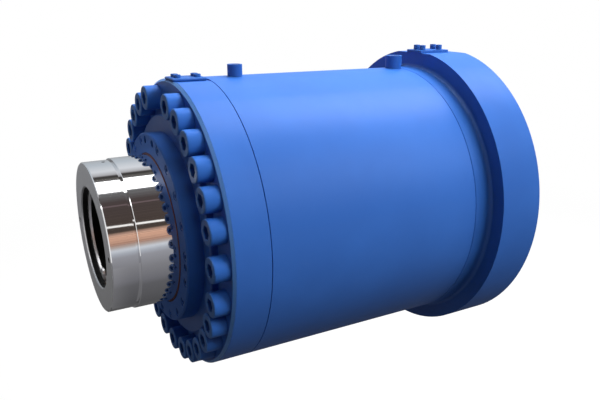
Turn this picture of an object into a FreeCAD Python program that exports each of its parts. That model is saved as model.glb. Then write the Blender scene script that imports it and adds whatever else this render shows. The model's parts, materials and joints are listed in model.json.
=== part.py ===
import FreeCAD, Part
import math
import os
from FreeCAD import Vector

# Hydraulic thrust cylinder, millimetres.
# The cylinder axis is X and the rod points to -X. +Z is up, with both oil ports on top.
# The origin is the centre of the rear flange's back face, so the body lies from x = 0 to -x.
# Every round piece is a profile of (x, radius) points turned about the X axis.

# Diameters, each built on the one inside it, so that a change of the rod or a wall carries on outwards
rod_d = 340.0
bore_d = 460.0
seal_wall = 20.0
retainer_screw_d = 12.0
retainer_screw_wall = 7.0
retainer_rim = 9.0
disc_step = 37.0
head_screw_d = 36.0
head_screw_head_d = 54.0
head_screw_inner_gap = 13.0
head_screw_rim = 10.5
flange_step = 42.5
retainer_spigot_d = rod_d + 2 * seal_wall
retainer_screw_circle_d = retainer_spigot_d + retainer_screw_d + 2 * retainer_screw_wall
retainer_d = retainer_screw_circle_d + retainer_screw_d + 2 * retainer_rim
disc_d = retainer_d + 2 * disc_step
head_screw_circle_d = disc_d + head_screw_head_d + 2 * head_screw_inner_gap
barrel_od = head_screw_circle_d + head_screw_head_d + 2 * head_screw_rim
flange_d = barrel_od + 2 * flange_step

# Driving sizes: cylinder
barrel_length = 539.0
flange_thickness = 122.0
neck_length = 47.0
root_fillet = 0.21 * flange_step
bottom_spigot_length = 6.0
weld_chamfer = 1.5
rear_edge_chamfer = 3.0

# Driving sizes: head that closes the front
head_length = 83.0
head_edge_chamfer = 6.0
joint_groove_width = 2.0
joint_groove_depth = 4.0
disc_height = 16.0
head_spigot_length = 52.0
nose_ring_gap = 20.0
nose_length = 46.0
nose_slot_width = 40.0
nose_slot_depth = 30.0
nose_slot_wall = 20.0
nose_slot_count = 4
spigot_chamfer = 2.0
bore_chamfer = 3.0

# Driving sizes: seal retainer, the hub in front of the head
retainer_height = 37.0
retainer_spigot_length = 22.0
retainer_spigot_chamfer = 1.0
retainer_edge_chamfer = 3.0

# Driving sizes: rod and what is on its front end
rod_reach = 140.0
stroke = 260.0
end_ring_step = 3.0
end_ring_length = 52.0
groove_width = 6.0
groove_depth = 9.0
socket_wall = 60.0
socket_depth = 190.0
socket_chamfer = 5.0
socket_floor_chamfer = 12.0
end_thread_wall = 32.0
end_thread_length = 28.0
rod_face_chamfer = 2.0
circlip_depth = 14.0
circlip_thickness = 5.0
circlip_groove_depth = 5.0
circlip_wall = 14.0
circlip_gap = 26.0
circlip_lug_r = 11.0
circlip_lug_hole_d = 6.0
face_hole_d = 12.0
face_hole_wall = 24.0
face_hole_floor = 1.0
ring_screw_d = 8.0
ring_screw_length = 18.0
ring_screw_from_face = 39.5
ring_screw_sink = 1.0
end_ring_d = rod_d - 2 * end_ring_step
groove_floor_d = rod_d - 2 * groove_depth
socket_d = rod_d - 2 * socket_wall
end_thread_d = socket_d + 2 * end_thread_wall
face_hole_circle_d = rod_d - 2 * face_hole_wall
face_hole_depth = end_ring_length - end_thread_length - face_hole_d / 4 - face_hole_floor
nose_d = bore_d - 2 * nose_ring_gap

# Driving sizes: piston and its nut
piston_length = 140.0
piston_seat_step = 30.0
piston_edge_chamfer = 4.0
nut_wall = 28.0
nut_edge_chamfer = 3.0
nut_length = 30.0
end_gap = 1.0
nut_slot_width = 24.0
nut_slot_depth = 14.0
nut_slot_count = 6
nut_screw_d = 12.0
nut_screw_length = 24.0
nut_screw_key = 6.0
nut_screw_sink = 2.0
piston_seat_d = rod_d - 2 * piston_seat_step
nut_d = piston_seat_d + 2 * nut_wall

# Driving sizes: seals and guides
ring_chamfer = 0.8
wiper_width = 8.0
wiper_height = 9.0
wiper_setback = 3.0
wiper_lip = 1.5
wiper_lip_thickness = 2.6
wiper_mouth_gap = 1.4
rod_seal_width = 18.0
rod_seal_height = 14.0
rod_seal_setback = 18.0
buffer_seal_width = 12.0
buffer_seal_height = 11.0
buffer_seal_setback = 10.0
guide_band_width = 28.0
guide_band_height = 5.0
rod_guide_count = 3
rod_guide_pitch = 44.0
rod_guide_setback = 14.0
head_seal_setback = 20.0
retainer_seal_setback = 9.0
piston_seal_width = 16.0
piston_seal_height = 6.0
energizer_height = 10.0
piston_guide_inset = 16.0
static_ring_width = 8.0
static_ring_height = 6.0
backup_ring_width = 3.0

# Driving sizes: fasteners, nominal diameter, head diameter, head height, key width
head_screw_head_h = 36.0
head_screw_key = 27.0
head_screw_length = 150.0
head_screw_pitch = 12.1
head_screw_group = 6
head_screw_top_gap = 14.7
head_screw_bottom_gap = 13.8
spotface_d = 58.0
spotface_depth = 1.5
retainer_screw_head_d = 18.0
retainer_screw_head_h = 12.0
retainer_screw_key = 10.0
retainer_screw_length = 45.0
retainer_screw_sink = 1.0
retainer_screw_count = 20
jacking_hole_d = 16.0
jacking_hole_angles = (-97.0, -7.5, 7.5, 97.0)
cover_screw_d = 12.0
cover_screw_head_d = 18.0
cover_screw_head_h = 12.0
cover_screw_key = 10.0
cover_screw_length = 22.0
mount_hole_d = 36.0
mount_hole_rim = 32.0
mount_hole_circle_d = flange_d - 2 * mount_hole_rim - mount_hole_d
mount_hole_depth = 62.0
mount_hole_count = 24
tap_runout = 8.0

# Driving sizes: what stands on top
front_port_boss_d = 34.0
front_port_boss_h = 26.0
front_port_thread_d = 21.0
front_port_from_joint = 75.0
rear_port_boss_d = 42.0
rear_port_boss_h = 31.5
rear_port_thread_d = 26.4
rear_port_from_weld = 18.0
port_thread_depth = 18.0
port_edge_chamfer = 1.5
port_boss_root = 30.0
oil_hole_d = 14.0
flange_flat_drop = 6.0
head_flat_drop = 3.5
front_plate_length = 79.0
rear_plate_length = 95.0
plate_width = 34.0
plate_thickness = 7.0
plate_corner = 2.0
front_plate_screw_pitch = 46.0
rear_plate_screw_pitch = 54.0
vent_hole_d = 8.0
vent_hole_circle_d = 410.0
vent_seal_d = 18.0
vent_seal_section = 2.5

# Named clearances
fit_gap = 0.1
guide_gap = 0.08
seal_gap = 0.3
screw_gap = 0.1
head_screw_hole_gap = 1.5
small_screw_hole_gap = 0.75
counterbore_gap = 1.0
screw_end_gap = 3.0
overcut = 1.0
head_bore_gap = 1.0
piston_gap = 0.8
boss_seat_gap = 0.05

# Places along the axis, counted back from the rear face
x_flange = -flange_thickness
x_weld = x_flange - neck_length
x_bottom = x_weld - bottom_spigot_length
x_joint = x_weld - barrel_length
x_head = x_joint - head_length
x_disc = x_head - disc_height
x_hub = x_disc - retainer_height
x_rod_face = x_hub - rod_reach
x_ring_back = x_rod_face + end_ring_length
x_rod_front = x_ring_back + groove_width
x_nut_back = x_bottom - end_gap
x_piston_back = x_nut_back - nut_length
x_piston_front = x_piston_back - piston_length
x_spigot_end = x_joint + head_spigot_length
x_nose_end = x_spigot_end + nose_length
if x_piston_front - stroke < x_nose_end:
    print("stroke runs the piston into the head by", x_nose_end - x_piston_front + stroke)

bore_r = bore_d / 2
barrel_r = barrel_od / 2
rod_r = rod_d / 2
AXIS = Vector(1, 0, 0)
ORIGIN = Vector(0, 0, 0)


def turned(points):
    """Solid of revolution of (x, radius) points about the X axis."""
    corners = [Vector(x, 0, r) for x, r in points]
    face = Part.Face(Part.makePolygon(corners + corners[:1]))
    return face.revolve(ORIGIN, AXIS, 360)


def ring(x0, x1, r_in, r_out, chamfer=0.0):
    """Ring between two places along the axis, with chamfered corners."""
    c = chamfer
    if c == 0:
        return turned([(x0, r_in), (x1, r_in), (x1, r_out), (x0, r_out)])
    return turned([(x0 + c, r_in), (x1 - c, r_in), (x1, r_in + c), (x1, r_out - c),
                   (x1 - c, r_out), (x0 + c, r_out), (x0, r_out - c), (x0, r_in + c)])


def rod_along_x(x0, x1, r, y=0.0, z=0.0):
    """Plain round bar parallel to the axis."""
    return Part.makeCylinder(r, x1 - x0, Vector(x0, y, z), AXIS)


def bar_up(x, z0, z1, r, y=0.0):
    """Plain round bar parallel to Z."""
    return Part.makeCylinder(r, z1 - z0, Vector(x, y, z0), Vector(0, 0, 1))


def tapped_hole(x_mouth, depth, d, y, z, direction):
    """Blind hole along X with the cone that the drill leaves."""
    way = Vector(direction, 0, 0)
    hole = Part.makeCylinder(d / 2, depth, Vector(x_mouth, y, z), way)
    tip = Vector(x_mouth + direction * depth, y, z)
    return hole.fuse(Part.makeCone(d / 2, 0, d / 4, tip, way))


def on_circle(r, angle):
    """Y and Z of a place on a circle, the angle counted from the top."""
    a = math.radians(angle)
    return -r * math.sin(a), r * math.cos(a)


def cut_all(shape, tools):
    return shape.cut(Part.makeCompound(tools)) if tools else shape


def socket_screw(d, head_d, head_h, key, length):
    """Socket head cap screw that points along +X, the head's seat at x = 0."""
    head_r = head_d / 2
    body = turned([(length, 0), (length, d * 0.40), (length - d * 0.1, d / 2 - screw_gap),
                   (0, d / 2 - screw_gap), (0, head_r), (-head_h, head_r), (-head_h, 0)])
    rim = [e for e in body.Edges if e.BoundBox.XMax < -head_h + 0.01 and e.BoundBox.ZMax > head_r - 0.01]
    body = body.makeFillet(head_h * 0.09, rim)
    socket_depth_here = head_h * 0.55
    corner_r = key / math.sqrt(3)
    corners = []
    for i in range(7):
        a = math.radians(60 * i)
        corners.append(Vector(-head_h, corner_r * math.cos(a), corner_r * math.sin(a)))
    hexagon = Part.Face(Part.makePolygon(corners)).extrude(Vector(socket_depth_here, 0, 0))
    return body.cut(hexagon)


def grub_screw(d, length, key):
    """Headless screw that points along -Z, its outer end at z = 0."""
    body = bar_up(0, -length, 0, d / 2 - screw_gap)
    corners = []
    for i in range(7):
        a = math.radians(60 * i)
        corners.append(Vector(key / math.sqrt(3) * math.cos(a), key / math.sqrt(3) * math.sin(a), 0))
    return body.cut(Part.Face(Part.makePolygon(corners)).extrude(Vector(0, 0, -length * 0.4)))


def placed(shape, x, y, z):
    copy = shape.copy()
    copy.translate(Vector(x, y, z))
    return copy


def stood_up(shape):
    """Turn a screw that points along +X so that it points along -Z."""
    copy = shape.copy()
    copy.rotate(ORIGIN, Vector(0, 1, 0), 90)
    return copy


def save(name, shapes):
    shape = shapes[0] if len(shapes) == 1 else Part.makeCompound(shapes)
    count = sum(len(s.Solids) for s in shapes)
    bad = [s for s in shapes if not s.isValid()]
    shape.exportStep("parts/" + name + ".step")
    print(name, "solids", count, "invalid" if bad else "valid")


# Head screws: four groups at one pitch, with one screw at each side and at the bottom, and none at the top
def head_screw_angles():
    angles = [180.0]
    for side in (-1, 1):
        angles.append(side * 90.0)
        for i in range(head_screw_group):
            angles.append(side * (head_screw_top_gap + i * head_screw_pitch))
            angles.append(side * (180 - head_screw_bottom_gap - i * head_screw_pitch))
    return angles


head_screw_places = [on_circle(head_screw_circle_d / 2, a) for a in head_screw_angles()]
retainer_screw_places = [on_circle(retainer_screw_circle_d / 2, 360 / retainer_screw_count * i)
                         for i in range(1, retainer_screw_count)]
jacking_hole_places = [on_circle(retainer_screw_circle_d / 2, a) for a in jacking_hole_angles]
mount_hole_places = [on_circle(mount_hole_circle_d / 2, 360 / mount_hole_count * (i + 0.5))
                     for i in range(mount_hole_count)]

# Top flats, cover plates and ports
z_flange_flat = flange_d / 2 - flange_flat_drop
z_head_flat = barrel_r - head_flat_drop
x_rear_plate = x_flange / 2 - 6.0
x_front_plate = (x_head + x_joint) / 2
x_front_port = x_joint + front_port_from_joint
x_rear_port = x_weld - rear_port_from_weld


def flat_cut(x0, x1, z_flat):
    """Block that mills a flat on top of a round collar."""
    wide = flange_d
    return Part.makeBox(x1 - x0, wide, wide, Vector(x0, -wide / 2, z_flat))


def cover_holes(x_plate, screw_pitch, z_flat, x_chamber):
    """Two tapped holes under a cover plate and the vent channel between them.

    The channel runs down from the flat and then along the axis to the oil chamber.
    """
    depth = cover_screw_length - plate_thickness + screw_end_gap
    tools = [bar_up(x_plate + s * screw_pitch / 2, z_flat - depth, z_flat, cover_screw_d / 2)
             for s in (-1, 1)]
    r = vent_hole_d / 2
    z_channel = vent_hole_circle_d / 2
    tools.append(bar_up(x_plate, z_channel - r, z_flat, r))
    tools.append(rod_along_x(min(x_plate, x_chamber), max(x_plate, x_chamber), r, 0, z_channel))
    return tools


# Base: one forging with the mounting flange, the bottom and the neck
def base_flange():
    r = flange_d / 2
    c = rear_edge_chamfer
    body = turned([(0, 0), (0, r - c), (-c, r), (x_flange, r), (x_flange, barrel_r),
                   (x_weld + weld_chamfer, barrel_r), (x_weld, barrel_r - weld_chamfer),
                   (x_weld, bore_r - fit_gap), (x_bottom, bore_r - fit_gap), (x_bottom, 0)])
    root = [e for e in body.Edges if abs(e.BoundBox.XMax - x_flange) < 0.01
            and abs(e.BoundBox.XMin - x_flange) < 0.01 and abs(e.BoundBox.ZMax - barrel_r) < 0.01]
    body = body.makeFillet(root_fillet, root)
    tools = [flat_cut(x_flange - 1.0, 1.0, z_flange_flat)]
    tools += [tapped_hole(0, mount_hole_depth, mount_hole_d, y, z, -1) for y, z in mount_hole_places]
    tools += cover_holes(x_rear_plate, rear_plate_screw_pitch, z_flange_flat, x_bottom)
    return cut_all(body, tools)


# Barrel: thick tube, tapped all round its front end
def barrel():
    tube = turned([(x_weld, bore_r), (x_weld, barrel_r - weld_chamfer), (x_weld - weld_chamfer, barrel_r),
                   (x_joint + joint_groove_width, barrel_r),
                   (x_joint + joint_groove_width, barrel_r - joint_groove_depth),
                   (x_joint, barrel_r - joint_groove_depth),
                   (x_joint, bore_r + bore_chamfer), (x_joint + bore_chamfer, bore_r)])
    depth = head_screw_length - (head_length - spotface_depth) + tap_runout
    tools = [tapped_hole(x_joint, depth, head_screw_d, y, z, 1) for y, z in head_screw_places]
    for x in (x_front_port, x_rear_port):
        tools.append(bar_up(x, nose_d / 2, barrel_r + overcut, oil_hole_d / 2))
    return cut_all(tube, tools)


# Head: bolted flange with a raised disc, a spigot in the bore and a slotted nose that stops the piston
def rod_guide_places():
    first = x_nose_end - rod_guide_setback - guide_band_width / 2
    return [first - i * rod_guide_pitch for i in range(rod_guide_count)]


x_recess = x_disc + retainer_spigot_length
x_buffer = x_recess + buffer_seal_setback
x_head_seal = x_joint + head_seal_setback


def head():
    r_bore = rod_r + head_bore_gap
    c = head_edge_chamfer
    body = turned([(x_recess, r_bore), (x_nose_end, r_bore), (x_nose_end, nose_d / 2),
                   (x_spigot_end, nose_d / 2), (x_spigot_end, bore_r - fit_gap - spigot_chamfer),
                   (x_spigot_end - spigot_chamfer, bore_r - fit_gap), (x_joint, bore_r - fit_gap),
                   (x_joint, barrel_r), (x_head + c, barrel_r), (x_head, barrel_r - c), (x_head, disc_d / 2),
                   (x_disc + spigot_chamfer, disc_d / 2), (x_disc, disc_d / 2 - spigot_chamfer),
                   (x_disc, retainer_spigot_d / 2 + fit_gap), (x_recess, retainer_spigot_d / 2 + fit_gap)])
    tools = [flat_cut(x_head - overcut, x_joint + overcut, z_head_flat)]
    for y, z in head_screw_places:
        hole_r = head_screw_d / 2 + head_screw_hole_gap
        tools.append(rod_along_x(x_head - overcut, x_joint + overcut, hole_r, y, z))
        tools.append(rod_along_x(x_head - overcut, x_head + spotface_depth, spotface_d / 2, y, z))
    seat = retainer_height - retainer_screw_head_h - retainer_screw_sink
    depth = retainer_screw_length - seat + tap_runout / 2
    tools += [tapped_hole(x_disc, depth, retainer_screw_d, y, z, 1) for y, z in retainer_screw_places]
    for x in rod_guide_places():
        half = guide_band_width / 2 + fit_gap
        tools.append(ring(x - half, x + half, rod_r, rod_r + guide_gap + guide_band_height + fit_gap))
    half = buffer_seal_width / 2 + fit_gap
    tools.append(ring(x_buffer, x_buffer + 2 * half, rod_r, rod_r + seal_gap + buffer_seal_height + fit_gap))
    depth = static_ring_height + fit_gap
    width = static_ring_width + backup_ring_width + 2 * fit_gap
    tools.append(ring(x_head_seal, x_head_seal + width, bore_r - fit_gap - depth, bore_r + 1.0))
    for i in range(nose_slot_count):
        slot = Part.makeBox(nose_slot_depth, nose_slot_width, bore_r,
                            Vector(x_nose_end - nose_slot_depth, -nose_slot_width / 2,
                                   rod_r + nose_slot_wall))
        slot.rotate(ORIGIN, AXIS, 360 / nose_slot_count * i)
        tools.append(slot)
    tools += cover_holes(x_front_plate, front_plate_screw_pitch, z_head_flat, x_spigot_end)
    return cut_all(body, tools)


# Seal retainer: the hub, bolted to the head, with the wiper and the main rod seal
x_wiper = x_hub + wiper_setback
x_rod_seal = x_hub + rod_seal_setback
x_retainer_seat = x_recess - 5 * fit_gap
x_retainer_ring = x_disc + retainer_seal_setback
wiper_mouth_r = rod_r + seal_gap + wiper_lip_thickness + wiper_mouth_gap


def seal_retainer():
    r_bore = rod_r + head_bore_gap
    r_wiper = rod_r + seal_gap + wiper_height + fit_gap
    c = retainer_edge_chamfer
    spigot_r = retainer_spigot_d / 2
    spigot_c = retainer_spigot_chamfer
    x_wiper_back = x_wiper + wiper_width + 2 * fit_gap
    body = turned([(x_wiper_back, r_bore), (x_retainer_seat, r_bore), (x_retainer_seat, spigot_r - spigot_c),
                   (x_retainer_seat - spigot_c, spigot_r), (x_disc, spigot_r), (x_disc, retainer_d / 2),
                   (x_hub + c, retainer_d / 2), (x_hub, retainer_d / 2 - c), (x_hub, wiper_mouth_r),
                   (x_wiper, wiper_mouth_r), (x_wiper, r_wiper), (x_wiper_back, r_wiper)])
    tools = []
    for y, z in retainer_screw_places:
        hole_r = retainer_screw_d / 2 + small_screw_hole_gap
        head_r = retainer_screw_head_d / 2 + counterbore_gap
        tools.append(rod_along_x(x_hub - overcut, x_disc + overcut, hole_r, y, z))
        x_seat = x_hub + retainer_screw_head_h + retainer_screw_sink
        tools.append(rod_along_x(x_hub - overcut, x_seat, head_r, y, z))
    for y, z in jacking_hole_places:
        tools.append(rod_along_x(x_hub - overcut, x_disc + overcut, jacking_hole_d / 2, y, z))
    tools.append(ring(x_rod_seal, x_rod_seal + rod_seal_width + 2 * fit_gap, rod_r,
                      rod_r + seal_gap + rod_seal_height + fit_gap))
    tools.append(ring(x_retainer_ring, x_retainer_ring + static_ring_width + 2 * fit_gap,
                      spigot_r - static_ring_height - fit_gap, spigot_r + 1.0))
    return cut_all(body, tools)


# Rod seals and guides, all carried by the cylinder
def wiper():
    r0 = rod_r + seal_gap
    r1 = r0 + wiper_height
    x0 = x_wiper + fit_gap
    x1 = x0 + wiper_width
    tip = x_hub - wiper_lip
    return turned([(x1, r0 + wiper_lip_thickness), (x1, r1), (x0, r1), (x0, r0 + wiper_lip_thickness),
                   (tip, r0 + wiper_lip_thickness / 2), (tip, r0)])


def lip_seal(x0, width, height):
    """U-shaped ring, its open side towards the pressure at +X."""
    r0 = rod_r + seal_gap
    r1 = r0 + height
    notch = height * 0.24
    return turned([(x0, r0 + 0.6), (x0, r1 - 0.6), (x0 + 0.6, r1), (x0 + width, r1),
                   (x0 + width, r1 - notch), (x0 + width * 0.55, (r0 + r1) / 2),
                   (x0 + width, r0 + notch), (x0 + width, r0), (x0 + 0.6, r0)])


def static_ring(x0, r_in, r_out, width):
    return ring(x0, x0 + width, r_in, r_out, ring_chamfer)


# Port bosses, saddle-cut to the barrel they stand on
def port_boss(x, d, height, thread_d):
    top = barrel_r + height
    boss = bar_up(x, barrel_r - port_boss_root, top, d / 2)
    seat = rod_along_x(x - d, x + d, barrel_r + boss_seat_gap)
    boss = boss.cut(seat)
    mouth = Part.makeCone(thread_d / 2, thread_d / 2 + port_edge_chamfer, port_edge_chamfer,
                          Vector(x, 0, top - port_edge_chamfer), Vector(0, 0, 1))
    hole = bar_up(x, top - port_thread_depth, top, thread_d / 2)
    through = bar_up(x, barrel_r - port_boss_root, top, oil_hole_d / 2)
    return cut_all(boss, [mouth, hole, through]).Solids[0]


# Cover plates on the top flats
def cover_plate(x_plate, length, screw_pitch, z_flat):
    plate = Part.makeBox(length, plate_width, plate_thickness,
                         Vector(x_plate - length / 2, -plate_width / 2, z_flat))
    upright = [e for e in plate.Edges if abs(e.tangentAt(e.FirstParameter).z) > 0.9]
    plate = plate.makeFillet(plate_corner, upright)
    tools = [bar_up(x_plate + s * screw_pitch / 2, z_flat - 1.0, z_flat + plate_thickness + 1.0,
                    cover_screw_d / 2 + small_screw_hole_gap) for s in (-1, 1)]
    groove = bar_up(x_plate, z_flat, z_flat + vent_seal_section - 0.5, vent_seal_d / 2 + fit_gap)
    inner = bar_up(x_plate, z_flat, z_flat + vent_seal_section, vent_seal_d / 2 - vent_seal_section - fit_gap)
    tools.append(groove.cut(inner))
    return cut_all(plate, tools)


def vent_seal(x_plate, z_flat):
    outer = bar_up(x_plate, z_flat, z_flat + vent_seal_section - 0.6, vent_seal_d / 2)
    return outer.cut(bar_up(x_plate, z_flat, z_flat + vent_seal_section, vent_seal_d / 2 - vent_seal_section))


def cover_screws(x_plate, screw_pitch, z_flat):
    screw = stood_up(socket_screw(cover_screw_d, cover_screw_head_d, cover_screw_head_h,
                                  cover_screw_key, cover_screw_length))
    return [placed(screw, x_plate + s * screw_pitch / 2, 0, z_flat + plate_thickness) for s in (-1, 1)]


# Piston rod: bored from the front, threaded spigots at both ends
x_socket_floor = x_rod_face + socket_depth
x_ring_shoulder = x_ring_back - end_thread_length


def piston_rod():
    seat_r = piston_seat_d / 2 - fit_gap
    body = turned([(x_nut_back, 0), (x_nut_back, seat_r - 2.0), (x_nut_back - 2.0, seat_r),
                   (x_piston_front, seat_r), (x_piston_front, rod_r), (x_rod_front + 1.0, rod_r),
                   (x_rod_front, rod_r - 1.0), (x_rod_front, groove_floor_d / 2),
                   (x_ring_back, groove_floor_d / 2), (x_ring_back, end_thread_d / 2 - screw_gap),
                   (x_ring_shoulder, end_thread_d / 2 - screw_gap),
                   (x_ring_shoulder, socket_d / 2), (x_socket_floor - socket_floor_chamfer, socket_d / 2),
                   (x_socket_floor, socket_d / 2 - socket_floor_chamfer), (x_socket_floor, 0)])
    z_screw = end_ring_d / 2
    x_screw = x_rod_face + ring_screw_from_face
    notch = bar_up(x_screw, z_screw - ring_screw_length - 1.0, z_screw, ring_screw_d / 2)
    half = static_ring_width / 2 + fit_gap
    x_mid = (x_piston_front + x_piston_back) / 2
    seal_groove = ring(x_mid - half, x_mid + half, seat_r - static_ring_height, seat_r + 1.0)
    return cut_all(body, [notch, seal_groove])


# Rod end ring: screwed on the rod, with the socket's mouth and the circlip groove
x_circlip = x_rod_face + circlip_depth


def rod_end_ring():
    r = end_ring_d / 2
    c = rod_face_chamfer
    mouth_r = socket_d / 2 + socket_chamfer
    groove_r = socket_d / 2 + circlip_groove_depth
    body = turned([(x_rod_face + socket_chamfer, socket_d / 2), (x_circlip, socket_d / 2),
                   (x_circlip, groove_r), (x_circlip + circlip_thickness + 2 * fit_gap, groove_r),
                   (x_circlip + circlip_thickness + 2 * fit_gap, socket_d / 2),
                   (x_ring_shoulder, socket_d / 2), (x_ring_shoulder, end_thread_d / 2),
                   (x_ring_back, end_thread_d / 2),
                   (x_ring_back, r), (x_rod_face + c, r), (x_rod_face, r - c), (x_rod_face, mouth_r)])
    tools = []
    for angle in (90, -90):
        y, z = on_circle(face_hole_circle_d / 2, angle)
        tools.append(tapped_hole(x_rod_face, face_hole_depth, face_hole_d, y, z, 1))
    x_screw = x_rod_face + ring_screw_from_face
    tools.append(bar_up(x_screw, r - ring_screw_length - 1.0, r + 1.0, ring_screw_d / 2))
    return cut_all(body, tools)


def rod_end_circlip():
    x0 = x_circlip + fit_gap
    x1 = x0 + circlip_thickness
    r_out = socket_d / 2 + circlip_groove_depth - fit_gap
    r_in = r_out - circlip_wall
    clip = ring(x0, x1, r_in, r_out)
    clip = clip.cut(Part.makeBox(x1 - x0, circlip_gap, r_out * 2, Vector(x0, -circlip_gap / 2, -r_out * 2)))
    for side in (-1, 1):
        y = side * (circlip_gap / 2 + circlip_lug_r)
        z = -math.sqrt(r_in ** 2 - y ** 2) + circlip_lug_r * 0.2
        clip = clip.fuse(rod_along_x(x0, x1, circlip_lug_r, y, z))
        clip = clip.cut(rod_along_x(x0, x1, circlip_lug_hole_d / 2, y, z))
    return clip.common(rod_along_x(x0, x1, r_out)).removeSplitter()


# Piston, its seals and its nut
x_piston_mid = (x_piston_front + x_piston_back) / 2


def piston_guide_places():
    off = piston_length / 2 - piston_guide_inset - guide_band_width / 2
    return [x_piston_mid - off, x_piston_mid + off]


def piston():
    r = bore_r - piston_gap
    c = piston_edge_chamfer
    body = turned([(x_piston_front, piston_seat_d / 2), (x_piston_back, piston_seat_d / 2),
                   (x_piston_back, r - c), (x_piston_back - c, r), (x_piston_front + c, r),
                   (x_piston_front, r - c)])
    tools = []
    for x in piston_guide_places():
        half = guide_band_width / 2 + fit_gap
        tools.append(ring(x - half, x + half, bore_r - guide_gap - guide_band_height - fit_gap, bore_r + 1.0))
    half = piston_seal_width / 2 + fit_gap
    floor = bore_r - seal_gap - piston_seal_height - energizer_height - 3 * fit_gap
    tools.append(ring(x_piston_mid - half, x_piston_mid + half, floor, bore_r + 1.0))
    return cut_all(body, tools)


def piston_seal():
    half = piston_seal_width / 2
    r_out = bore_r - seal_gap
    return ring(x_piston_mid - half, x_piston_mid + half, r_out - piston_seal_height, r_out, ring_chamfer)


def piston_energizer():
    half = piston_seal_width / 2 - fit_gap
    r_out = bore_r - seal_gap - piston_seal_height - fit_gap
    return ring(x_piston_mid - half, x_piston_mid + half, r_out - energizer_height, r_out, 3.0)


def piston_nut():
    r = nut_d / 2
    c = nut_edge_chamfer
    body = turned([(x_piston_back, piston_seat_d / 2), (x_nut_back, piston_seat_d / 2), (x_nut_back, r - c),
                   (x_nut_back - c, r), (x_piston_back, r)])
    tools = []
    for i in range(nut_slot_count):
        slot = Part.makeBox(nut_length + 2.0, nut_slot_width, nut_slot_depth * 2,
                            Vector(x_piston_back - 1.0, -nut_slot_width / 2, r - nut_slot_depth))
        slot.rotate(ORIGIN, AXIS, 360 / nut_slot_count * (i + 0.5))
        tools.append(slot)
    for turn in (0, 180):
        hole = bar_up(x_piston_back + nut_length / 2, piston_seat_d / 2 - 1.0, r + 1.0, nut_screw_d / 2)
        hole.rotate(ORIGIN, AXIS, turn)
        tools.append(hole)
    return cut_all(body, tools)


def nut_screws():
    screws = []
    for turn in (0, 180):
        screw = grub_screw(nut_screw_d, nut_screw_length, nut_screw_key)
        screw = placed(screw, x_piston_back + nut_length / 2, 0, nut_d / 2 - nut_screw_sink)
        screw.rotate(ORIGIN, AXIS, turn)
        screws.append(screw)
    return screws


os.makedirs("parts", exist_ok=True)

# The cylinder's own pieces
save("base_flange", [base_flange()])
save("barrel", [barrel()])
save("head", [head()])
head_screw = socket_screw(head_screw_d, head_screw_head_d, head_screw_head_h, head_screw_key,
                          head_screw_length)
save("head_screws", [placed(head_screw, x_head + spotface_depth, y, z) for y, z in head_screw_places])
save("seal_retainer", [seal_retainer()])
retainer_screw = socket_screw(retainer_screw_d, retainer_screw_head_d, retainer_screw_head_h,
                              retainer_screw_key, retainer_screw_length)
x_retainer_screw = x_hub + retainer_screw_head_h + retainer_screw_sink
save("retainer_screws", [placed(retainer_screw, x_retainer_screw, y, z) for y, z in retainer_screw_places])
save("wiper", [wiper()])
save("rod_seal", [lip_seal(x_rod_seal + fit_gap, rod_seal_width, rod_seal_height)])
save("buffer_seal", [lip_seal(x_buffer + fit_gap, buffer_seal_width, buffer_seal_height)])
rod_band_r = rod_r + guide_gap
save("rod_guide_bands", [ring(x - guide_band_width / 2, x + guide_band_width / 2, rod_band_r,
                              rod_band_r + guide_band_height) for x in rod_guide_places()])
spigot_seal_r = bore_r - fit_gap
save("head_o_ring", [static_ring(x_head_seal + backup_ring_width + fit_gap,
                                 spigot_seal_r - static_ring_height, spigot_seal_r,
                                 static_ring_width)])
save("head_backup_ring", [ring(x_head_seal + fit_gap, x_head_seal + backup_ring_width,
                               spigot_seal_r - static_ring_height, spigot_seal_r)])
save("retainer_o_ring", [static_ring(x_retainer_ring + fit_gap, retainer_spigot_d / 2 - static_ring_height,
                                     retainer_spigot_d / 2, static_ring_width)])
save("front_port_boss", [port_boss(x_front_port, front_port_boss_d, front_port_boss_h, front_port_thread_d)])
save("rear_port_boss", [port_boss(x_rear_port, rear_port_boss_d, rear_port_boss_h, rear_port_thread_d)])
for name, x_plate, length, screw_pitch, z_flat in (
        ("front", x_front_plate, front_plate_length, front_plate_screw_pitch, z_head_flat),
        ("rear", x_rear_plate, rear_plate_length, rear_plate_screw_pitch, z_flange_flat)):
    save(name + "_cover_plate", [cover_plate(x_plate, length, screw_pitch, z_flat)])
    save(name + "_cover_seal", [vent_seal(x_plate, z_flat)])
    save(name + "_cover_screws", cover_screws(x_plate, screw_pitch, z_flat))

# What moves with the rod
save("piston_rod", [piston_rod()])
save("rod_end_ring", [rod_end_ring()])
save("rod_end_circlip", [rod_end_circlip()])
save("end_ring_screw", [placed(grub_screw(ring_screw_d, ring_screw_length, 4.0),
                               x_rod_face + ring_screw_from_face, 0, end_ring_d / 2 - ring_screw_sink)])
save("piston", [piston()])
save("piston_seal", [piston_seal()])
save("piston_seal_energizer", [piston_energizer()])
piston_band_r = bore_r - guide_gap
save("piston_guide_rings", [ring(x - guide_band_width / 2, x + guide_band_width / 2,
                                 piston_band_r - guide_band_height, piston_band_r)
                            for x in piston_guide_places()])
save("piston_o_ring", [static_ring(x_piston_mid - static_ring_width / 2,
                                   piston_seat_d / 2 - fit_gap - static_ring_height,
                                   piston_seat_d / 2, static_ring_width)])
save("piston_nut", [piston_nut()])
save("nut_screws", nut_screws())
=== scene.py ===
import bpy
import json
import math
from mathutils import Matrix, Vector


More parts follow.
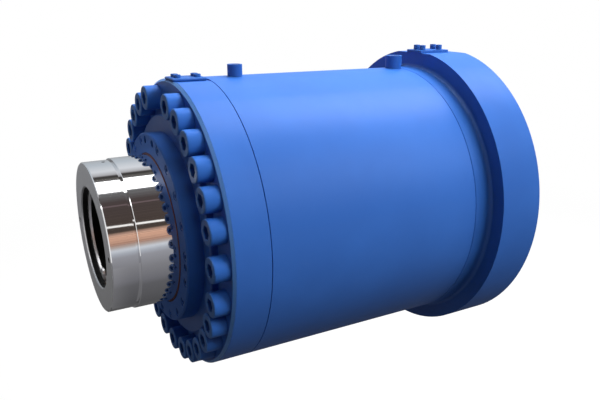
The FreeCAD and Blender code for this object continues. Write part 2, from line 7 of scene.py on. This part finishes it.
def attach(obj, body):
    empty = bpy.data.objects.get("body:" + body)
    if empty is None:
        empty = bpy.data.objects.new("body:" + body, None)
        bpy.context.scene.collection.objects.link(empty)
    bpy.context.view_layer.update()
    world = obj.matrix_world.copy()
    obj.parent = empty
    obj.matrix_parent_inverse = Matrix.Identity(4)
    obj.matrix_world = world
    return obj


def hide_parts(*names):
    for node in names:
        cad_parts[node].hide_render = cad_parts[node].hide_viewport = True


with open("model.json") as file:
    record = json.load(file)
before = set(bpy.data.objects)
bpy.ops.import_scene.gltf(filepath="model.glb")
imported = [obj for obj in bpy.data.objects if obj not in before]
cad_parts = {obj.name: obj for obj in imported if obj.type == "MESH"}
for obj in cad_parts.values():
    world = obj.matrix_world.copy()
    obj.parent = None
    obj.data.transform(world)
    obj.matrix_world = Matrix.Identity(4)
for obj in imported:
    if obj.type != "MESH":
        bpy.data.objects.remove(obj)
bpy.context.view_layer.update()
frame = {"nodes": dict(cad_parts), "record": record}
nodes = frame["nodes"]
scene = bpy.context.scene
print("frame loaded:", len(nodes), "nodes")


# shader maths written as plain expressions: a Sock is one output of a node in a Graph
class Sock:
    def __init__(self, graph, socket):
        self.graph = graph
        self.socket = socket

    def math(self, operation, *others):
        return self.graph.maths(operation, self, *others)

    def out(self, which):  # another output of the same node
        return Sock(self.graph, self.socket.node.outputs[which])

    def smooth(self, low, high):  # 0 below low, 1 above high, soft between
        return self.graph.node("ShaderNodeMapRange", {"interpolation_type": "SMOOTHSTEP", "out": "Result"},
                               Value=self, From_Min=low, From_Max=high)

    def __add__(self, other): return self.math("ADD", other)
    def __radd__(self, other): return self.math("ADD", other)
    def __sub__(self, other): return self.math("SUBTRACT", other)
    def __rsub__(self, other): return self.graph.maths("SUBTRACT", other, self)
    def __mul__(self, other): return self.math("MULTIPLY", other)
    def __rmul__(self, other): return self.math("MULTIPLY", other)
    def __gt__(self, other): return self.math("GREATER_THAN", other)
    def __lt__(self, other): return self.math("LESS_THAN", other)
    def __abs__(self): return self.math("ABSOLUTE")


class Graph:
    def __init__(self, owner):  # a material or a world
        owner.use_nodes = True
        self.tree = owner.node_tree

    def node(self, kind, settings=None, **inputs):  # settings first, then the sockets' values or links
        n = self.tree.nodes.new(kind)
        settings = settings or {}
        for key, value in settings.items():
            if key == "stops":
                self.fillRamp(n.color_ramp, value)
            elif key != "out":
                setattr(n, key, value)
        self.fill(n, inputs)
        return Sock(self, n.outputs[settings.get("out", 0)]) if n.outputs else None

    def maths(self, operation, *values):
        numbered = {"i" + str(index): value for index, value in enumerate(values)}
        return self.node("ShaderNodeMath", {"operation": operation}, **numbered)

    def fill(self, n, inputs):  # i0, i1 and so on call a socket by its number
        for key, value in inputs.items():
            numbered = key[0] == "i" and key[1:].isdigit()
            socket = n.inputs[int(key[1:]) if numbered else key.replace("_", " ")]
            if isinstance(value, Sock):
                self.tree.links.new(value.socket, socket)
            elif socket.type == "RGBA":
                socket.default_value = (*value, 1.0)
            else:
                socket.default_value = value

    def fillRamp(self, ramp, stops):
        while len(ramp.elements) < len(stops):
            ramp.elements.new(0.5)
        for element, (place, colour) in zip(ramp.elements, stops):
            element.position = place
            element.color = (*colour, 1.0)


# every finish starts here: object coordinates, the place along the axis, x, and the distance from it, radius
class Finish(Graph):
    def __init__(self, name):
        self.material = bpy.data.materials.new(name)
        super().__init__(self.material)
        self.shader = self.tree.nodes["Principled BSDF"]
        self.place = self.node("ShaderNodeTexCoord", {"out": "Object"})
        split = self.node("ShaderNodeSeparateXYZ", None, Vector=self.place)
        self.x, self.y, self.z = [split.out(i) for i in range(3)]
        self.radius = (self.y * self.y + self.z * self.z).math("SQRT")

    def noise(self, scale, detail, roughness, stretch=None):
        place = self.place
        if stretch:
            place = self.node("ShaderNodeMapping", None, Vector=place, Scale=stretch)
        return self.node("ShaderNodeTexNoise", {"out": "Fac"}, Vector=place, Scale=scale,
                         Detail=detail, Roughness=roughness)

    def blend(self, factor, first, second):
        return self.node("ShaderNodeMix", {"data_type": "RGBA", "out": 2}, i0=factor, i6=first, i7=second)

    def bump(self, height, strength, distance):
        return self.node("ShaderNodeBump", None, Height=height, Strength=strength, Distance=distance)

    def set(self, **inputs):
        self.fill(self.shader, inputs)
        return self.material


# a thread: where its bare steel shows, which way its ridges follow each other, and their pitch
def portThread(x, radius, top, pitch):
    return {"where": lambda f: (((f.x - x) * (f.x - x) + f.y * f.y).math("SQRT") < radius) * (f.z < top),
            "along": lambda f: f.z, "pitch": pitch}


def flangeThread(circle, radius, front, back, pitch):
    return {"where": lambda f: (abs(f.radius - circle) < radius) * (f.x < back) * (f.x > front),
            "along": lambda f: f.x, "pitch": pitch}


paintLook = {
    "blue": (0.031, 0.145, 0.535), "deep": (0.027, 0.130, 0.490), "dust": (0.09, 0.20, 0.50),
    # the first tone on the next line is a painted highlight for turned edges
    "paintedHighlight": (0.12, 0.36, 0.90), "cutSteel": (0.34, 0.34, 0.35),
    "cloudScale": 5.0, "cloudRange": (0.35, 0.68),  # slow change from deep to blue
    "filmScale": 26.0, "dustRange": (0.60, 0.82), "dustShare": 0.10,
    "roughness": 0.44, "filmRoughness": 0.10,
    "peelScale": 210.0, "speckScale": 900.0, "speckShare": 0.25, "peelStrength": 0.35, "peelDepth": 0.00006,
    "knurlStretch": (25.0, 900.0, 900.0),  # ridges along the screws
    "threadGloss": 0.10, "threadHeight": 5000.0,  # the height is times the pitch
}
# the fittings' coat: duller and less glossy, with a shade below 1 that is painted shade, a darker copy of the
# same blue
fittingCoatAndShade = {"dull": 0.03, "gloss": 0.35, "shade": 0.78}
coatsAndPaintedLight = {
    # an edge entry puts a painted highlight on one turned edge: where it goes, and how strong it is
    "screws": {"dull": 0.03, "gloss": 0.28, "knurl": 3.0,
               "edge": {"radius": 0.25, "x": -0.8235, "share": 0.35}},
    "hub": {"dull": 0.12, "gloss": 0.22},
    "head": {"edge": {"radius": 0.3266, "x": -0.7853, "share": 1.0}},
    # the flange's shade below 1 is painted shade as well
    "flange": {"gloss": 0.38, "shade": 0.9,
               "thread": flangeThread(circle=0.325, radius=0.0186, front=-0.07, back=-0.0015, pitch=0.004)},
    "frontPort": {**fittingCoatAndShade, "thread": portThread(x=-0.633, radius=0.0124, top=0.3572, pitch=0.0018)},
    "rearPort": {**fittingCoatAndShade, "thread": portThread(x=-0.187, radius=0.0151, top=0.3627, pitch=0.0018)},
}


def bluePaint(name, look, dull=0.0, gloss=0.5, shade=1.0, edge=None, thread=None, knurl=0.0):
    f = Finish(name)
    cloud = f.noise(look["cloudScale"], 3.0, 0.55)
    peel = f.noise(look["peelScale"], 1.5, 0.5)
    speck = f.noise(look["speckScale"], 1.0, 0.4)
    film = f.noise(look["filmScale"], 4.0, 0.62)
    # shade darkens every tone of the paint: painted shade
    deep, blue, dust = [tuple(shade * v for v in look[tone]) for tone in ("deep", "blue", "dust")]
    colour = f.blend(cloud.smooth(*look["cloudRange"]), deep, blue)
    colour = f.blend(film.smooth(*look["dustRange"]) * look["dustShare"], colour, dust)
    if edge:  # painted highlight: paler blue on one turned edge
        paintedHighlight = (f.radius > edge["radius"]) * (f.x < edge["x"])
        colour = f.blend(paintedHighlight * edge["share"], colour, look["paintedHighlight"])
    rough = (film - 0.5) * look["filmRoughness"] + (look["roughness"] + dull)
    height = peel + speck * look["speckShare"]
    metal = 0.0
    if knurl:  # the heads' fine ridges show through the paint
        height = height + f.noise(1.0, 1.0, 0.5, look["knurlStretch"]) * knurl
    if thread:  # bare cut steel inside the tapped holes
        metal = thread["where"](f)
        ridges = (thread["along"](f) * (2 * math.pi / thread["pitch"])).math("SINE")
        colour = f.blend(metal, colour, look["cutSteel"])
        rough = rough - metal * look["threadGloss"]
        height = height * (1.0 - metal) + ridges * metal * (thread["pitch"] * look["threadHeight"])
    return f.set(Base_Color=colour, Roughness=rough, Metallic=metal, Specular_IOR_Level=gloss,
                 Normal=f.bump(height, look["peelStrength"], look["peelDepth"]))


polishRings = (2600.0, 9.0, 9.0)  # stretch of the fine rings that polishing leaves round the rod
hollowPaintedShade = (0.004, 0.004, 0.004)  # painted shade: the rod's dark inside, near black
hollowGloss = 0.15
chromeLook = {
    "tint": (0.80, 0.80, 0.81), "smudge": (0.66, 0.66, 0.67), "roughness": 0.035,
    "smudgeScale": 14.0, "smudgeStretch": (1.0, 1.0, 0.7), "smudgeRange": (0.55, 0.8), "smudgeShare": 0.5,
    "dullRange": (0.5, 0.8), "dullRoughness": 0.05,
    "ringRoughness": 0.02, "ringStrength": 0.05, "ringDepth": 0.00001,
    "boreRadius": 0.125, "boreEnd": -0.79, "boreRoughness": 0.45,
}


def mirrorChrome(name, look):
    f = Finish(name)
    polish = f.noise(1.0, 3.0, 0.6, polishRings)
    smudge = f.noise(look["smudgeScale"], 4.0, 0.6, look["smudgeStretch"])
    hollow = (f.radius < look["boreRadius"]) * (f.x < look["boreEnd"])
    colour = f.blend(smudge.smooth(*look["smudgeRange"]) * look["smudgeShare"], look["tint"], look["smudge"])
    # painted shade: the hollow is coloured near black and made non-metal
    colour = f.blend(hollow, colour, hollowPaintedShade)
    rough = smudge.smooth(*look["dullRange"]) * look["dullRoughness"] + polish * look["ringRoughness"]
    rough = rough + look["roughness"] + hollow * look["boreRoughness"]
    return f.set(Base_Color=colour, Roughness=rough, Metallic=1.0 - hollow, Specular_IOR_Level=hollowGloss,
                 Normal=f.bump(polish, look["ringStrength"], look["ringDepth"]))


# the rod's end ring: polished round its outside, turned across its face, with painted shade on its mouth and
# in its hollow
ringLook = {
    # the mouth's tone, darker than the face, is painted shade on the mouth's chamfer
    "steel": (0.78, 0.78, 0.79), "face": (0.66, 0.66, 0.67), "mouth": (0.50, 0.50, 0.51),
    "faceX": -0.98385, "mouthX": -0.9788, "mouthRadius": 0.1155, "hollowRadius": 0.1124,
    "roughness": 0.04, "cloudScale": 12.0, "cloudRoughness": 0.04,
    "faceRoughness": 0.26, "hollowRoughness": 0.40,
    "toolScale": 900.0, "toolRoughness": 0.06,
    "polishShare": 0.2, "markStrength": 0.12, "markDepth": 0.00003,
}


def turnedRing(name, look):
    f = Finish(name)
    polish = f.noise(1.0, 3.0, 0.6, polishRings)
    cloud = f.noise(look["cloudScale"], 3.0, 0.6)
    toolMarks = f.node("ShaderNodeTexNoise", {"noise_dimensions": "1D", "out": "Fac"}, W=f.radius,
                       Scale=look["toolScale"], Detail=2.0)
    mouth = (f.radius < look["mouthRadius"]) * (f.x < look["mouthX"])
    onFace = (f.x < look["faceX"]).math("MAXIMUM", mouth)
    hollow = f.radius < look["hollowRadius"]
    colour = f.blend(onFace, look["steel"], look["face"])
    # painted shade: the mouth darker, the hollow near black
    colour = f.blend(mouth, colour, look["mouth"])
    colour = f.blend(hollow, colour, hollowPaintedShade)
    rough = look["roughness"] + cloud * look["cloudRoughness"] + hollow * look["hollowRoughness"]
    rough = rough + onFace * (look["faceRoughness"] + toolMarks * look["toolRoughness"])
    height = polish * (1.0 - onFace) * look["polishShare"] + toolMarks * onFace
    return f.set(Base_Color=colour, Roughness=rough, Metallic=1.0 - hollow, Specular_IOR_Level=hollowGloss,
                 Normal=f.bump(height, look["markStrength"], look["markDepth"]))


steelLook = {
    "bright": (0.50, 0.50, 0.51), "dark": (0.34, 0.34, 0.35), "roughness": 0.28,
    "cloudScale": 18.0, "cloudRange": (0.35, 0.7), "cloudRoughness": 0.12,
    "markStretch": (1500.0, 12.0, 12.0), "markStrength": 0.10, "markDepth": 0.00003,
}


def turnedSteel(name, look):
    f = Finish(name)
    cloud = f.noise(look["cloudScale"], 3.0, 0.6)
    marks = f.noise(1.0, 2.0, 0.6, look["markStretch"])
    colour = f.blend(cloud.smooth(*look["cloudRange"]), look["dark"], look["bright"])
    rough = cloud * look["cloudRoughness"] + look["roughness"]
    return f.set(Base_Color=colour, Roughness=rough, Metallic=1.0,
                 Normal=f.bump(marks, look["markStrength"], look["markDepth"]))


circlipLook = {
    "bright": (0.74, 0.74, 0.75), "dark": (0.60, 0.60, 0.61), "roughness": 0.40,
    "cloudScale": 60.0, "cloudRange": (0.35, 0.7), "cloudRoughness": 0.10,
    "edgeTilt": 0.30,
}


def rolledSteel(name, look):
    f = Finish(name)
    cloud = f.noise(look["cloudScale"], 3.0, 0.6)
    colour = f.blend(cloud.smooth(*look["cloudRange"]), look["dark"], look["bright"])
    rolled = f.x * look["edgeTilt"]  # the strip's inner edge leans a little to the front
    rough = cloud * look["cloudRoughness"] + look["roughness"]
    return f.set(Base_Color=colour, Roughness=rough, Metallic=1.0,
                 Normal=f.bump(rolled, 1.0, 1.0))


blackLook = {
    "tone": (0.12, 0.12, 0.125), "worn": (0.24, 0.24, 0.25), "roughness": 0.28,
    "cloudScale": 120.0, "cloudRoughness": 0.15, "wornRange": (0.62, 0.8), "wornShare": 0.4,
    "grainScale": 700.0, "grainStrength": 0.10, "grainDepth": 0.00005,
}


def blackSteel(name, look):
    f = Finish(name)
    cloud = f.noise(look["cloudScale"], 3.0, 0.6)
    grain = f.noise(look["grainScale"], 2.0, 0.5)
    colour = f.blend(cloud.smooth(*look["wornRange"]) * look["wornShare"], look["tone"], look["worn"])
    rough = cloud * look["cloudRoughness"] + look["roughness"]
    return f.set(Base_Color=colour, Roughness=rough, Metallic=1.0,
                 Normal=f.bump(grain, look["grainStrength"], look["grainDepth"]))


rubberGrain = {"scale": 420.0, "roughness": 0.12, "strength": 0.2, "depth": 0.00008}
rubberCloud = {"scale": 30.0, "range": (0.4, 0.7)}
rubberLooks = {
    "wiperRubber": {"tone": (0.085, 0.030, 0.042), "light": (0.12, 0.042, 0.055), "roughness": 0.6},
    "blackRubber": {"tone": (0.012, 0.012, 0.012), "light": (0.03, 0.03, 0.03), "roughness": 0.5},
    "pistonResin": {"tone": (0.10, 0.065, 0.04), "light": (0.16, 0.11, 0.07), "roughness": 0.4},
    "backupResin": {"tone": (0.62, 0.62, 0.58), "light": (0.74, 0.74, 0.70), "roughness": 0.4},
}


def sealRubber(name):
    f = Finish(name)
    look = rubberLooks[name]
    grain = f.noise(rubberGrain["scale"], 3.0, 0.6)
    cloud = f.noise(rubberCloud["scale"], 3.0, 0.6)
    colour = f.blend(cloud.smooth(*rubberCloud["range"]), look["tone"], look["light"])
    return f.set(Base_Color=colour, Roughness=grain * rubberGrain["roughness"] + look["roughness"],
                 Normal=f.bump(grain, rubberGrain["strength"], rubberGrain["depth"]))


guideLook = {
    "tone": (0.16, 0.08, 0.035), "light": (0.25, 0.14, 0.07), "roughness": 0.45,
    "weaveStretch": (900.0, 300.0, 300.0), "weaveRange": (0.4, 0.65), "weaveRoughness": 0.15,
    "weaveStrength": 0.25, "weaveDepth": 0.00008,
}


def wovenResin(name, look):
    f = Finish(name)
    weave = f.noise(1.0, 2.0, 0.6, look["weaveStretch"])
    colour = f.blend(weave.smooth(*look["weaveRange"]), look["tone"], look["light"])
    return f.set(Base_Color=colour, Roughness=weave * look["weaveRoughness"] + look["roughness"],
                 Normal=f.bump(weave, look["weaveStrength"], look["weaveDepth"]))


# one finish for each slot of the record, and own ones for the nodes that differ from their slot
finishes = {
    "blue_paint": bluePaint("bluePaint", paintLook),
    "screw_paint": bluePaint("screwPaint", paintLook, **coatsAndPaintedLight["screws"]),
    "rod_chrome": mirrorChrome("rodChrome", chromeLook),
    "machined_steel": turnedSteel("turnedSteel", steelLook),
    "spring_steel": blackSteel("springSteel", blackLook),
    "wiper_red": sealRubber("wiperRubber"),
    "seal_black": sealRubber("blackRubber"),
    "guide_resin": wovenResin("guideResin", guideLook),
    "piston_resin": sealRubber("pistonResin"),
    "backup_white": sealRubber("backupResin"),
}
ownFinish = {
    "rod_end_ring": turnedRing("rodEndSteel", ringLook),
    "rod_end_circlip": rolledSteel("circlipSteel", circlipLook),
    "seal_retainer": bluePaint("hubPaint", paintLook, **coatsAndPaintedLight["hub"]),
    "head": bluePaint("headPaint", paintLook, **coatsAndPaintedLight["head"]),
    "base_flange": bluePaint("flangePaint", paintLook, **coatsAndPaintedLight["flange"]),
    "front_port_boss": bluePaint("frontPortPaint", paintLook, **coatsAndPaintedLight["frontPort"]),
    "rear_port_boss": bluePaint("rearPortPaint", paintLook, **coatsAndPaintedLight["rearPort"]),
}
fittingFinish = bluePaint("fittingPaint", paintLook, **fittingCoatAndShade)
slotOf = {s["node"]: s["material_slot"] for s in frame["record"]["subparts"]}
for name, piece in nodes.items():
    finish = ownFinish.get(name, finishes[slotOf[name]])
    for materialSlot in piece.material_slots:
        materialSlot.material = finish
print("finishes on", len(nodes), "nodes")


def clearSelection():
    if bpy.context.object and bpy.context.object.mode != "OBJECT":
        bpy.ops.object.mode_set(mode="OBJECT")
    bpy.ops.object.select_all(action="DESELECT")


def pick(mesh, kind, wanted):  # selects the faces, or the edges by their two ends, that wanted accepts
    bpy.ops.mesh.select_all(action="DESELECT")
    bpy.ops.object.mode_set(mode="OBJECT")
    if kind == "FACE":
        for face in mesh.polygons:
            face.select = wanted(face)
    else:
        for line in mesh.edges:
            line.select = wanted(*[mesh.vertices[i].co for i in line.vertices])
    bpy.ops.object.mode_set(mode="EDIT")
    bpy.ops.mesh.select_mode(type=kind)


# cover plates on the two flats, each with four socket heads, as the photograph shows them
coverLook = {
    "front": {"x": -0.7495, "flat": 0.329, "size": (0.079, 0.060, 0.007), "pitch": (0.0455, 0.019),
              "head": {"radius": 0.0080, "height": 0.0065, "key": 0.0045, "deep": 0.003}},
    "rear": {"x": -0.0760, "flat": 0.369, "size": (0.095, 0.060, 0.007), "pitch": (0.0550, 0.024),
             "head": {"radius": 0.0080, "height": 0.0122, "key": 0.0046, "deep": 0.006}},
    "corner": 0.004, "cornerSteps": 4, "rim": 0.0008, "rimSteps": 2, "smoothAngle": 32,
    "headSides": 36, "headSunk": 0.0002, "headRim": 0.12, "headRound": 0.09,  # the last two: times the radius
}
topShare, outerShare = 0.49, 0.99  # past this share of a height or radius, an edge is at the top or outside


def finished(piece, finish):
    bpy.ops.mesh.select_all(action="SELECT")
    bpy.ops.mesh.normals_make_consistent(inside=False)
    bpy.ops.object.mode_set(mode="OBJECT")
    bpy.ops.object.transform_apply(location=True, rotation=True, scale=True)
    bpy.ops.object.shade_smooth_by_angle(angle=math.radians(coverLook["smoothAngle"]))
    piece.data.materials.append(finish)
    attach(piece, "cylinder")
    return piece


def coverPlate(name, look, finish):
    clearSelection()
    length, width, thick = look["size"]
    middle = (look["x"], 0, look["flat"] + thick / 2)
    bpy.ops.mesh.primitive_cube_add(size=1, location=middle, scale=(length, width, thick))
    piece = bpy.context.object
    piece.name = name
    bpy.ops.object.transform_apply(location=False, rotation=False, scale=True)
    bpy.ops.object.mode_set(mode="EDIT")
    # upright corners; on the front plate all edges, because Blender starts in vertex mode
    pick(piece.data, "EDGE", lambda a, b: abs(a.z - b.z) > thick / 2)
    bpy.ops.mesh.bevel(offset=coverLook["corner"], offset_type="OFFSET", segments=coverLook["cornerSteps"])
    pick(piece.data, "EDGE", lambda a, b: min(a.z, b.z) > thick * topShare)  # rim of the top
    bpy.ops.mesh.bevel(offset=coverLook["rim"], offset_type="OFFSET", segments=coverLook["rimSteps"])
    return finished(piece, finish)


def socketHead(look, x, y, finish):
    clearSelection()
    h = look["head"]
    radius, height = h["radius"], h["height"]
    foot = look["flat"] + look["size"][2] - coverLook["headSunk"]
    bpy.ops.mesh.primitive_cylinder_add(vertices=coverLook["headSides"], radius=radius, depth=height,
                                        location=(x, y, foot + height / 2))
    piece = bpy.context.object
    bpy.ops.object.mode_set(mode="EDIT")
    pick(piece.data, "FACE", lambda face: face.normal.z > 0.9)  # the top
    bpy.ops.mesh.inset(thickness=radius * coverLook["headRim"], depth=0)
    bpy.ops.mesh.inset(thickness=radius * (1 - coverLook["headRim"]) - h["key"], depth=0)
    bpy.ops.mesh.extrude_region_move(TRANSFORM_OT_translate={"value": (0, 0, -h["deep"])})
    pick(piece.data, "EDGE", lambda a, b: min(a.z, b.z) > height * topShare
         and min(a.xy.length, b.xy.length) > radius * outerShare)  # the top's outer edge
    bpy.ops.mesh.bevel(offset=radius * coverLook["headRound"], offset_type="OFFSET",
                       segments=coverLook["rimSteps"])
    return finished(piece, finish)


def coverSet(side, look):
    plate = coverPlate(side + "CoverPlate", look, fittingFinish)
    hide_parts(side + "_cover_plate")
    pitchX, pitchY = look["pitch"]
    first = socketHead(look, look["x"] - pitchX / 2, -pitchY / 2, fittingFinish)
    heads = [first]
    for along, across in ((0, 1), (1, 0), (1, 1)):
        copy = first.copy()
        copy.data = first.data.copy()
        scene.collection.objects.link(copy)
        copy.data.transform(Matrix.Translation((along * pitchX, across * pitchY, 0)))
        heads.append(copy)
    clearSelection()
    for head in heads:
        head.select_set(True)
    bpy.context.view_layer.objects.active = first
    bpy.ops.object.join()
    first.name = side + "CoverScrews"
    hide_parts(side + "_cover_screws")


for side in ("front", "rear"):
    coverSet(side, coverLook[side])
print("cover plates made")


# studio: a white floor under the cylinder, three soft lamps, and a hall that only shiny surfaces see
def bareGraph(owner):
    graph = Graph(owner)
    graph.tree.nodes.clear()
    return graph


def directRays(graph):  # 1 for what the camera sees, also in a mirror or through glass
    path = graph.node("ShaderNodeLightPath")
    camera, glossy, through = [path.out(kind) for kind in
                               ("Is Camera Ray", "Is Glossy Ray", "Is Transmission Ray")]
    return (camera + glossy + through).math("MINIMUM", 1.0)


studio = {"floorZ": -0.95, "floorSize": 30.0, "seen": (1.0, 1.0, 1.0), "bounce": (0.085, 0.085, 0.085),
          "whiteShare": 0.85, "whiteFrom": 1.2, "whiteFull": 4.0}


def studioFloor(s):
    clearSelection()
    bpy.ops.mesh.primitive_plane_add(size=s["floorSize"], location=(0, 0, s["floorZ"]))
    floor = bpy.context.object
    floor.name = "studioFloor"
    material = bpy.data.materials.new("floorPaper")
    g = bareGraph(material)
    bounce = g.node("ShaderNodeBsdfDiffuse", None, Color=s["bounce"])
    paper = g.node("ShaderNodeBsdfDiffuse", None, Color=s["seen"])
    white = g.node("ShaderNodeEmission", None, Color=s["seen"], Strength=1.0)
    place = g.node("ShaderNodeTexCoord", {"out": "Object"})
    away = g.node("ShaderNodeVectorMath", {"operation": "LENGTH", "out": "Value"}, i0=place)
    share = away.smooth(s["whiteFrom"], s["whiteFull"]) * (1.0 - s["whiteShare"]) + s["whiteShare"]
    seen = g.node("ShaderNodeMixShader", None, i0=share, i1=paper, i2=white)
    mixed = g.node("ShaderNodeMixShader", None, i0=directRays(g), i1=bounce, i2=seen)
    g.node("ShaderNodeOutputMaterial", None, Surface=mixed)
    floor.data.materials.append(material)
    floor.visible_glossy = False  # the hall stands in for it in reflections


worldLook = {"fill": 0.052, "tone": (1.0, 1.0, 1.0)}


def studioWorld(w):
    world = bpy.data.worlds.new("studioWorld")
    scene.world = world
    g = bareGraph(world)
    strength = directRays(g) * (1.0 - w["fill"]) + w["fill"]
    ground = g.node("ShaderNodeBackground", None, Color=w["tone"], Strength=strength)
    g.node("ShaderNodeOutputWorld", None, Surface=ground)


lampAim = Vector((-0.45, 0, 0))
lamps = {
    "overheadLamp": {"place": (0.90, 1.15, 2.75), "size": (3.4, 1.6), "power": 215},
    "sideLamp": {"place": (1.30, -2.32, 2.08), "size": (2.0, 2.0), "power": 121},
    "nearLamp": {"place": (-0.85, -2.15, 2.25), "size": (0.9, 1.2), "power": 13},
}


def softLamp(name, lamp):
    data = bpy.data.lights.new(name, "AREA")
    data.shape = "RECTANGLE"
    data.size, data.size_y = lamp["size"]
    data.energy = lamp["power"]
    obj = bpy.data.objects.new(name, data)
    scene.collection.objects.link(obj)
    obj.location = lamp["place"]
    obj.rotation_euler = (lampAim - Vector(lamp["place"])).to_track_quat("-Z", "Y").to_euler()
    obj.visible_glossy = False


# the hall that chrome reflects: a tube round the axis, its tones by angle in degrees,
# from the camera's side up over the top
hall = {
    "radius": 3.6, "length": 18.0, "sides": 96, "firstAngle": -158,
    "tones": [
        (-158, (0.19, 0.19, 0.195)), (-148, (0.10, 0.10, 0.10)), (-112, (0.09, 0.09, 0.095)),
        (-66, (0.13, 0.13, 0.14)),  # dark floor below
        (-56, (0.18, 0.18, 0.20)), (-34, (0.25, 0.25, 0.27)), (-15, (0.35, 0.355, 0.39)),  # lit floor
        (-9, (0.48, 0.51, 0.57)), (-4, (0.70, 0.74, 0.80)), (0, (0.52, 0.45, 0.42)),  # bright sill
        (5, (0.50, 0.29, 0.21)), (14, (0.80, 0.46, 0.32)), (19, (0.58, 0.36, 0.27)),  # copper wall
        (22, (0.08, 0.06, 0.05)), (66, (0.08, 0.062, 0.06)), (80, (0.17, 0.17, 0.175)),  # dark wall
        (83.5, (0.30, 0.30, 0.30)), (84, (4.5, 4.5, 4.5)), (103, (4.5, 4.5, 4.5)),  # soft box
        (105, (0.17, 0.17, 0.165)), (110, (0.12, 0.11, 0.10)), (112, (0.05, 0.05, 0.05)),  # its frame
        (115, (0.07, 0.06, 0.055)), (118, (0.50, 0.50, 0.52)), (128, (0.80, 0.83, 0.87)),  # pale far wall
        (150, (0.56, 0.62, 0.68)), (175, (0.46, 0.49, 0.52)), (186, (0.28, 0.29, 0.30)),
        (196, (0.21, 0.21, 0.22)), (202, (0.19, 0.19, 0.195)),
    ],
    "streaks": [  # how uneven the copper wall and the dark wall are
        {"angles": (3.0, 21.0), "strength": 2.6}, {"angles": (24.0, 80.0), "strength": 1.6}],
    "dust": {"Scale": 0.9, "Detail": 4.0, "Roughness": 0.7},
    "lineEdge": (0.7, 1.3),  # where a line's edge starts and ends, times its half width
    "frontFloor": {"tone": (0.075, 0.075, 0.077), "angles": (-125.0, -30.0), "from": 0.22, "full": 0.46},
    "slat": {"angle": 29.3, "slope": -4.0, "half": 1.35, "tone": (1.15, 1.12, 1.08)},
    "pinkLine": {"angle": 60.5, "slope": 0.0, "half": 1.1, "tone": (0.17, 0.125, 0.13)},
}


def reflectedHall(h):
    clearSelection()
    bpy.ops.mesh.primitive_cylinder_add(vertices=h["sides"], radius=h["radius"], depth=h["length"],
                                        end_fill_type="NOTHING", location=(0, 0, 0),
                                        rotation=(0, math.pi / 2, 0))
    bpy.ops.object.transform_apply(location=True, rotation=True, scale=True)
    tube = bpy.context.object
    tube.name = "reflectedHall"
    material = bpy.data.materials.new("hallTones")
    g = bareGraph(material)
    split = g.node("ShaderNodeSeparateXYZ", None, Vector=g.node("ShaderNodeTexCoord", {"out": "Object"}))
    x, y, z = [split.out(i) for i in range(3)]
    angle = z.math("ARCTAN2", y * -1.0) * (180 / math.pi)

    def between(low, high):
        return (angle > low) * (angle < high)

    turned = (angle - h["firstAngle"]).math("MODULO", 360.0)
    turned = (turned + 360.0).math("MODULO", 360.0)
    stops = [((a - h["firstAngle"]) / 360, tone) for a, tone in h["tones"]]
    tone = g.node("ShaderNodeValToRGB", {"stops": stops}, Fac=turned * (1 / 360))
    dust = g.node("ShaderNodeTexNoise", {"noise_dimensions": "1D", "out": "Fac"}, W=angle, **h["dust"])
    copper, wall = [between(*streak["angles"]) * streak["strength"] for streak in h["streaks"]]
    streaks = (dust - 0.5) * (copper + wall) + 1.0
    tone = g.node("ShaderNodeMix", {"data_type": "RGBA", "blend_type": "MULTIPLY", "out": 2},
                  i0=1.0, i6=tone, i7=streaks)
    near = h["frontFloor"]
    front = (x * -1.0).smooth(near["from"], near["full"]) * between(*near["angles"])
    tone = g.node("ShaderNodeMix", {"data_type": "RGBA", "blend_type": "ADD", "out": 2},
                  i0=front, i6=tone, i7=near["tone"])
    for line in (h["slat"], h["pinkLine"]):
        away = abs(angle - (x * line["slope"] + line["angle"]))
        share = 1.0 - away.smooth(*[line["half"] * edge for edge in h["lineEdge"]])
        tone = g.node("ShaderNodeMix", {"data_type": "RGBA", "out": 2}, i0=share, i6=tone, i7=line["tone"])
    light = g.node("ShaderNodeEmission", None, Color=tone, Strength=1.0)
    g.node("ShaderNodeOutputMaterial", None, Surface=light)
    tube.data.materials.clear()
    tube.data.materials.append(material)
    tube.visible_camera = False
    tube.visible_diffuse = False
    tube.visible_shadow = False
    tube.visible_transmission = False


studioFloor(studio)
studioWorld(worldLook)
for lampName, lamp in lamps.items():
    softLamp(lampName, lamp)
reflectedHall(hall)
print("studio set")


# camera at the photograph's own place, its frame shifted as the photograph's crop is
cameraLook = {"place": (-1.2159, -1.37946, 0.49247), "turn": (69.1733, -0.4982, -29.8798), "lens": 38.0025,
              "sensor": 36.0, "shift": (-0.02535, 0.07097), "clipEnd": 60.0}
cameraData = bpy.data.cameras.new("photoCamera")
cameraData.lens = cameraLook["lens"]
cameraData.sensor_width = cameraLook["sensor"]
cameraData.sensor_fit = "HORIZONTAL"
cameraData.shift_x, cameraData.shift_y = cameraLook["shift"]
cameraData.clip_end = cameraLook["clipEnd"]
camera = bpy.data.objects.new("photoCamera", cameraData)
scene.collection.objects.link(camera)
camera.location = cameraLook["place"]
camera.rotation_euler = [math.radians(a) for a in cameraLook["turn"]]
scene.camera = camera
scene.view_settings.view_transform = "Standard"
print("camera set")

bpy.context.view_layer.update()
